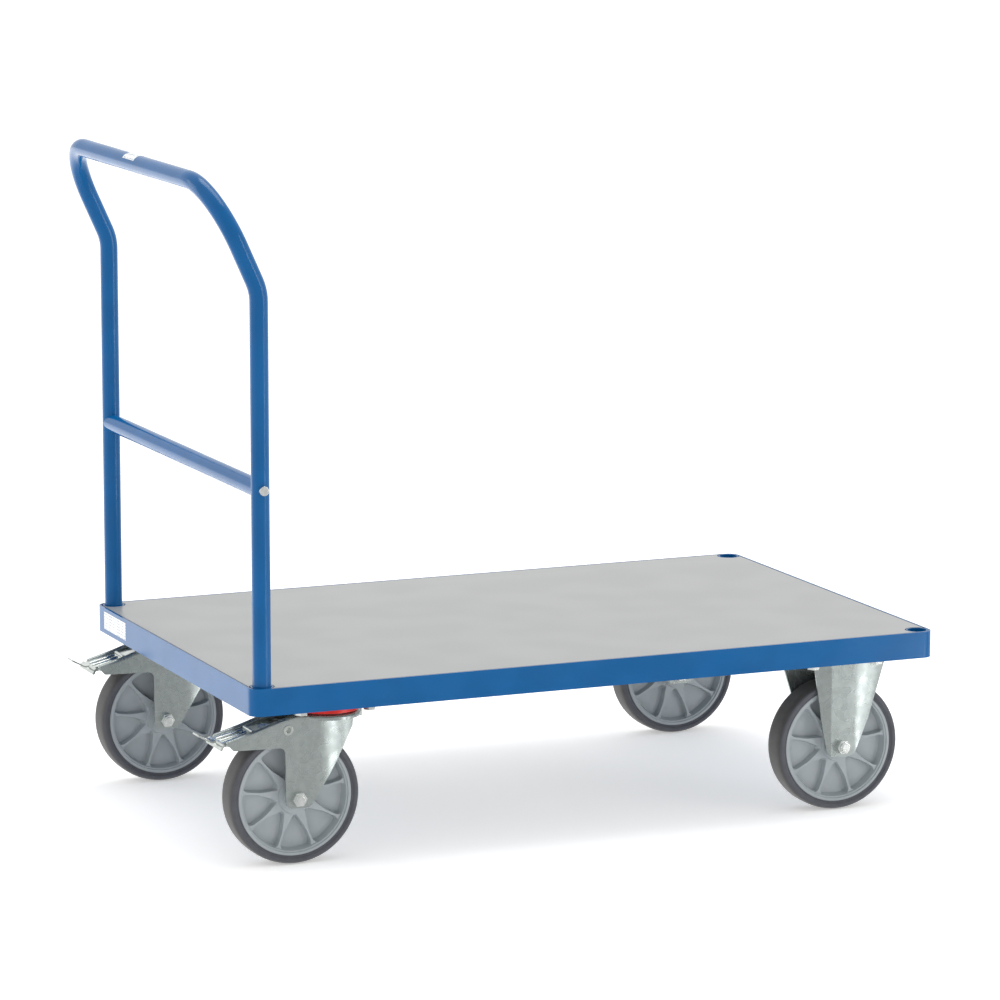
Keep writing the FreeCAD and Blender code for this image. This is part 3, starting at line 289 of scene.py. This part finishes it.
# how wide the rounding of their edges is, by the first words of the node's name
edgeWidths = {"side_rail": 0.9*mm, "end_rail": 0.9*mm, "front_socket": 0.8*mm, "rear_socket": 0.8*mm,
              "deck_board": 0.4*mm, "front_channel": 0.8*mm, "rear_channel": 0.8*mm,
              "swivel_fork": 0.7*mm, "fixed_fork": 0.7*mm, "castor_plate": 0.6*mm, "brake_pedal": 0.6*mm,
              "brake_rivets": 0.5*mm, "swivel_axle": 0.6*mm, "fixed_axle": 0.6*mm,
              "crossbar_bolts": 1.0*mm, "castor_screws": 0.5*mm}


def soften(node, width):
    # a merged copy of a CAD node, its flat faces joined and its edges rounded by a bevel
    mesh = nodes[node].data.copy()
    build = bmesh.new()
    build.from_mesh(mesh)
    bmesh.ops.remove_doubles(build, verts=build.verts, dist=edgeLook["merge"])
    bmesh.ops.dissolve_limit(build, angle_limit=math.radians(edgeLook["flat"]),
                             verts=build.verts, edges=build.edges)
    build.to_mesh(mesh)
    build.free()
    mesh.materials.clear()
    mesh.materials.append(materials[slotOf[node]])
    shade(mesh, edgeLook["sharp"])
    piece = bpy.data.objects.new(node + "_soft", mesh)
    bpy.context.scene.collection.objects.link(piece)
    bevel = piece.modifiers.new("edge", "BEVEL")
    bevel.width = width
    bevel.segments = edgeLook["segments"]
    bevel.limit_method = "ANGLE"
    bevel.angle_limit = math.radians(edgeLook["sharp"])
    bevel.harden_normals = True
    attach(piece, bodyOf[node])
    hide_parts(node)


for node, thing in nodes.items():
    thing.data.materials.clear()
    thing.data.materials.append(materials[slotOf[node]])
for node in sorted(nodes):
    for start, width in edgeWidths.items():
        if node.startswith(start):
            soften(node, width)
print("CAD copies softened")


# wheels, in millimetres about their own middle until they are placed

def smooth(value, low, high):
    # 0 below low, 1 above high, an S curve between
    t = np.clip((value - low)/(high - low), 0, 1)
    return t*t*(3 - 2*t)


def closedGrid(rows, columns):
    # quads between neighbours on a rows x columns grid of points that closes on itself both ways
    row = np.arange(rows)[:, None]
    column = np.arange(columns)[None, :]
    nextRow = (row + 1) % rows
    nextColumn = (column + 1) % columns
    corners = [row*columns + column, row*columns + nextColumn,
               nextRow*columns + nextColumn, nextRow*columns + column]
    return np.stack(corners, -1).reshape(-1, 4)


def newPiece(node, points, sharp, uv=None):
    # a grid of points made into one mesh, which rides on its body in place of the CAD node
    rows, columns = points.shape[:2]
    mesh = bpy.data.meshes.new("moulded_" + node)
    mesh.from_pydata(points.reshape(-1, 3).tolist(), [], closedGrid(rows, columns).tolist())
    mesh.update()
    piece = bpy.data.objects.new("moulded_" + node, mesh)
    bpy.context.scene.collection.objects.link(piece)
    if uv is not None:
        layer = mesh.uv_layers.new(name="around")
        loops = np.zeros(len(mesh.loops), int)
        mesh.loops.foreach_get("vertex_index", loops)
        layer.data.foreach_set("uv", uv.reshape(-1, 2)[loops].astype(np.float32).ravel())
    mesh.materials.append(materials[slotOf[node]])
    shade(mesh, sharp)
    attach(piece, bodyOf[node])
    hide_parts(node)
    return piece


# radii from the bore out, then half widths at each ring, then the spokes' own sizes
rimShape = {"bore": 14.5, "boss": 17.0, "hub": 25.0, "step": 79.6, "lip": 82.6, "outer": 87.0,
            "bossHalf": 28.4, "hubHalf": 20.5, "floorHalf": 5.0, "spokeHalf": 15.0, "stepHalf": 17.6,
            "ringHalf": 19.6, "spokes": 9, "wall": 2.2, "hubWidth": 7.6, "hubWidthEnds": 58.0,
            "narrow": 1.5, "flare": 3.2, "flareStarts": 70.0, "floorShare": 0.52, "wallShare": 0.86,
            "chamfer": 0.6, "sharp": 40, "rearTurn": 8, "frontTurn": 12}

# the ejector mark beside each spoke: a low round pip
pipShape = {"height": 0.9, "radius": 70.0, "turn": 0.12, "spread": 2.2, "arc": 68.0}


def rimRadii():
    # the grid's circles: a few crowd together at each step, and even ones fill the panels
    s = rimShape
    return np.unique(np.concatenate([
        [s["bore"], s["bore"] + 0.5, s["boss"] - 0.7, s["boss"] - 0.1, s["boss"] + 0.1, s["boss"] + 1],
        [s["hub"] - 0.9, s["hub"] - 0.1, s["hub"] + 0.5, s["hub"] + 1.4],
        np.linspace(s["hub"] + 2.5, s["step"] - 7, 26),
        np.linspace(s["step"] - 6, s["step"] + 0.6, 14),
        [s["lip"] - 0.4, s["lip"] + 0.3, s["outer"] - 0.7, s["outer"]]]))


def rimAngles(r, sector):
    # across one panel, from spoke middle to spoke middle: even lines on the floor, then lines that follow
    # the foot and the top of the spoke's drafted wall, whose half width narrows outward and then flares
    s = rimShape
    floorShare, wallShare = s["floorShare"], s["wallShare"]
    size = np.concatenate([np.linspace(0, floorShare, 9)[:-1], np.linspace(floorShare, wallShare, 9)[:-1],
                           np.linspace(wallShare, 1, 4)])
    across = np.concatenate([-size[:0:-1], size])[:-1, None]
    size = np.abs(across)
    width = s["narrow"] + (s["hubWidth"] - s["narrow"])*(1 - smooth(r, s["hub"] - 6, s["hubWidthEnds"]))
    width = width + s["flare"]*smooth(r, s["flareStarts"], s["step"] + 1)**2
    leastTurn = 0.004  # keeps neighbouring lines apart near the hub
    steepest = 0.9
    top = sector - np.arcsin(np.minimum(width/r, steepest))
    base = np.maximum(sector - np.arcsin(np.minimum((width + s["wall"])/r, steepest)), leastTurn)
    top = np.maximum(top, base + leastTurn)
    onWall = base + (top - base)*(size - floorShare)/(wallShare - floorShare)
    onSpoke = top + (sector - top)*(size - wallShare)/(1 - wallShare)
    angle = np.where(size < floorShare, base*size/floorShare, np.where(size < wallShare, onWall, onSpoke))
    return np.sign(across)*angle, size


def rimPoints(turnBack):
    # half a rim as a height over a polar grid: the spoke height, dropped to the floor between spokes,
    # then carried by S curves in radius to the heights of the step, the outer ring, the hub and the boss
    s = rimShape
    radii = rimRadii()
    r = radii[None, :]
    sector = math.pi/s["spokes"]
    angle, size = rimAngles(r, sector)
    drop = 1 - smooth(size, s["floorShare"] - 0.02, s["wallShare"] + 0.02)
    drop = drop*smooth(r, s["hub"] + 1.5, s["hub"] + 8)*(1 - smooth(r, s["step"] - 3.2, s["step"] + 0.2))
    height = s["spokeHalf"] - (s["spokeHalf"] - s["floorHalf"])*drop
    aside = (angle + pipShape["turn"])*pipShape["arc"]
    height = height + pipShape["height"]*np.exp(-(aside**2 + (r - pipShape["radius"])**2)/pipShape["spread"])
    height = height + (s["stepHalf"] - s["spokeHalf"])*smooth(r, s["step"] - 0.5, s["step"] + 0.5)
    height = height + (s["ringHalf"] - s["stepHalf"])*smooth(r, s["lip"] - 0.5, s["lip"] + 0.4)
    height = height - s["chamfer"]*smooth(r, s["outer"] - 0.8, s["outer"])
    height = height + (s["hubHalf"] - height)*(1 - smooth(r, s["hub"] - 1.0, s["hub"] + 0.6))
    height = height + (s["bossHalf"] - height)*(1 - smooth(r, s["boss"] - 0.8, s["boss"] + 0.2))
    turns = 2*sector*np.arange(s["spokes"])[:, None, None]
    theta = (angle[None] + turns).reshape(-1, radii.size) - math.radians(turnBack)
    radius = np.broadcast_to(r, theta.shape)
    height = np.tile(height, (s["spokes"], 1))
    return np.stack([radius*np.cos(theta), height, radius*np.sin(theta)], -1)


def makeRim(node, centre):
    # one half and its mirror image, joined at the bore and at the outer edge
    half = rimPoints(rimShape["rearTurn"] if "rear" in node else rimShape["frontTurn"])
    otherHalf = half[:, ::-1]*np.array([1, -1, 1])
    piece = newPiece(node, np.concatenate([half, otherHalf], 1)*mm + np.array(centre), rimShape["sharp"])
    build = bmesh.new()
    build.from_mesh(piece.data)
    bmesh.ops.remove_doubles(build, verts=build.verts, dist=0.0001*mm)
    bmesh.ops.recalc_face_normals(build, faces=build.faces)
    build.to_mesh(piece.data)
    build.free()


# wall: points up from the bead and out from its face; the shoulder starts at its own radius
tyreShape = {"bead": 87.0, "beadHalf": 19.6, "outer": 100.0, "half": 22.4,
             "wall": [(0, 0), (2.4, 0), (3.0, 0.4), (3.7, 1.6), (4.6, 2.45), (5.8, 2.8)],
             "shoulder": 94.6, "shoulderPoints": 16, "rise": 1.15, "fall": 0.5,
             "treadStarts": 95.5, "treadFull": 99.0, "steps": 180, "sharp": 28}


def makeTyre(node, centre):
    # half an outline from the bead up the side wall, then a superellipse quarter (radius by a power of
    # the sine, half width by a power of the cosine) over the shoulder to the crown; mirrored and carried
    # once round the axle: x = radius cos, y = along, z = radius sin
    t = tyreShape
    wall = np.array(t["wall"]) + np.array([t["bead"], t["beadHalf"]])
    quarter = np.linspace(0, np.pi/2, t["shoulderPoints"])
    shoulder = np.stack([t["shoulder"] + (t["outer"] - t["shoulder"])*np.sin(quarter)**t["rise"],
                         t["half"]*np.cos(quarter)**t["fall"]], 1)
    half = np.concatenate([wall, shoulder])
    half[-1, 1] = 0
    profile = np.concatenate([half*np.array([1, -1]), half[-2::-1]])  # in this order the faces point out
    turn = np.linspace(0, 2*np.pi, t["steps"], endpoint=False)[:, None]
    radius = profile[:, 0]
    along = np.broadcast_to(profile[:, 1], (t["steps"], len(profile)))
    points = np.stack([radius*np.cos(turn), along, radius*np.sin(turn)], -1)
    uv = np.zeros(points.shape[:2] + (2,))
    uv[..., 0] = np.linspace(0, 1, t["steps"])[:, None]
    uv[..., 1] = smooth(radius, t["treadStarts"], t["treadFull"])
    newPiece(node, points*mm + np.array(centre), t["sharp"], uv)


for node in sorted(nodes):
    if node.startswith(("rim_", "tyre_")):
        low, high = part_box(node)
        makePart = makeRim if node.startswith("rim_") else makeTyre
        makePart(node, (low + high)/2)
print("wheels made")


# floor, room, lamps and camera

floorLook = {"colour": "fafafa", "reach": 30.0, "glow": 0.36}


def makeFloor():
    # a pale sheet with a little glow of its own, which shiny metal doesn't mirror
    reach = floorLook["reach"]
    corners = [(-reach, -reach, 0), (reach, -reach, 0), (reach, reach, 0), (-reach, reach, 0)]
    mesh = bpy.data.meshes.new("floor")
    mesh.from_pydata(corners, [], [(0, 1, 2, 3)])
    floor = bpy.data.objects.new("floor", mesh)
    bpy.context.scene.collection.objects.link(floor)
    material, shader = newMaterial("paleFloor")
    setShader(shader, {"Base Color": srgb(floorLook["colour"]), "Roughness": 0.9, "Specular IOR Level": 0.0,
                       "Emission Color": (1, 1, 1, 1), "Emission Strength": floorLook["glow"]}, {})
    mesh.materials.append(material)
    floor.visible_glossy = False


# strengths of the room's light, and the heights and depths (from -1 to 1) between which they change
roomLook = {"front": 0.62, "frontEnds": -0.75, "back": 1.0, "backStarts": 0.1,
            "sweep": 0.95, "sweepFull": -0.14, "sweepEnds": 0.0, "sweepFrom": 0.3, "sweepAll": 0.8}


def makeRoom():
    # a white room with a darker wall at the front, which gives the plated steel its tone, and a bright
    # low sweep behind; the backdrop itself is seen white
    world = bpy.data.worlds.new("studio")
    bpy.context.scene.world = world
    world.use_nodes = True
    tree = world.node_tree
    tree.nodes.clear()
    way = addNode(tree, "TexCoord").outputs["Generated"]
    split = addNode(tree, "SeparateXYZ", links={"Vector": way})
    room = addNode(tree, "MapRange", {"interpolation_type": "SMOOTHSTEP"},
                   {"From Min": roomLook["frontEnds"], "From Max": roomLook["backStarts"],
                    "To Min": roomLook["front"], "To Max": roomLook["back"]}, {"Value": split.outputs["Y"]})
    low = addNode(tree, "MapRange", {"interpolation_type": "SMOOTHSTEP"},
                  {"From Min": roomLook["sweepFull"], "From Max": roomLook["sweepEnds"],
                   "To Min": roomLook["sweep"], "To Max": 0.0}, {"Value": split.outputs["Z"]})
    behind = addNode(tree, "MapRange", {"interpolation_type": "SMOOTHSTEP"},
                     {"From Min": roomLook["sweepFrom"], "From Max": roomLook["sweepAll"]},
                     {"Value": split.outputs["Y"]})
    lit = addNode(tree, "Math", {"operation": "MULTIPLY_ADD"},
                  links={0: low.outputs["Result"], 1: behind.outputs["Result"], 2: room.outputs["Result"]})
    seen = addNode(tree, "LightPath").outputs["Is Camera Ray"]
    strength = addNode(tree, "Mix", {"data_type": "FLOAT"}, {3: 1.0}, {0: seen, 2: lit.outputs["Value"]})
    light = addNode(tree, "Background", values={"Color": (1, 1, 1, 1)}, links={"Strength": strength.outputs[0]})
    addNode(tree, "OutputWorld", links={"Surface": light.outputs["Background"]})


lamps = {
    "topLight": {"place": (0.5, 0.3, 4.0), "aim": (0.1, 0, 0.2), "size": (3.0, 2.0), "power": 60},
    "sideLight": {"place": (2.9, -2.3, 0.1), "aim": (0, -0.3, 0.1), "size": (0.5, 2.6), "power": 9},
    "frontLight": {"place": (6.0, -7.6, 0.5), "aim": (0, -0.3, 0.2), "size": (1.5, 7.0), "power": 165},
    "rearLight": {"place": (-3.6, 2.6, 1.4), "aim": (-0.4, 0, 0.4), "size": (1.6, 2.0), "power": 14},
}


def makeLamps():
    for name, look in lamps.items():
        data = bpy.data.lights.new(name, "AREA")
        data.shape = "RECTANGLE"
        data.size, data.size_y = look["size"]
        data.energy = look["power"]
        lamp = bpy.data.objects.new(name, data)
        bpy.context.scene.collection.objects.link(lamp)
        lamp.location = look["place"]
        aim = Vector(look["aim"]) - Vector(look["place"])
        lamp.rotation_euler = aim.to_track_quat("-Z", "Y").to_euler()


cameraLook = {"azimuth": -22.989, "elevation": 9.9365, "lens": 181.34, "sensor": 36, "far": 100,
              "offset": (-2.96349, -6.95203, 1.77768)}


def makeCamera():
    # stands off from the point on the floor midway between the four castors
    low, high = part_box("castor_screws")
    data = bpy.data.cameras.new("camera")
    data.lens = cameraLook["lens"]
    data.sensor_width = cameraLook["sensor"]
    data.clip_end = cameraLook["far"]
    camera = bpy.data.objects.new("camera", data)
    bpy.context.scene.collection.objects.link(camera)
    camera.location = Vector(cameraLook["offset"]) + Vector(((low.x + high.x)/2, 0, 0))
    tilt = math.radians(90 - cameraLook["elevation"])
    camera.rotation_euler = (tilt, 0, math.radians(cameraLook["azimuth"]))
    bpy.context.scene.camera = camera


makeFloor()
makeRoom()
makeLamps()
makeCamera()
bpy.context.scene.view_settings.view_transform = "Standard"
print("stage, light and camera set")

bpy.context.view_layer.update()
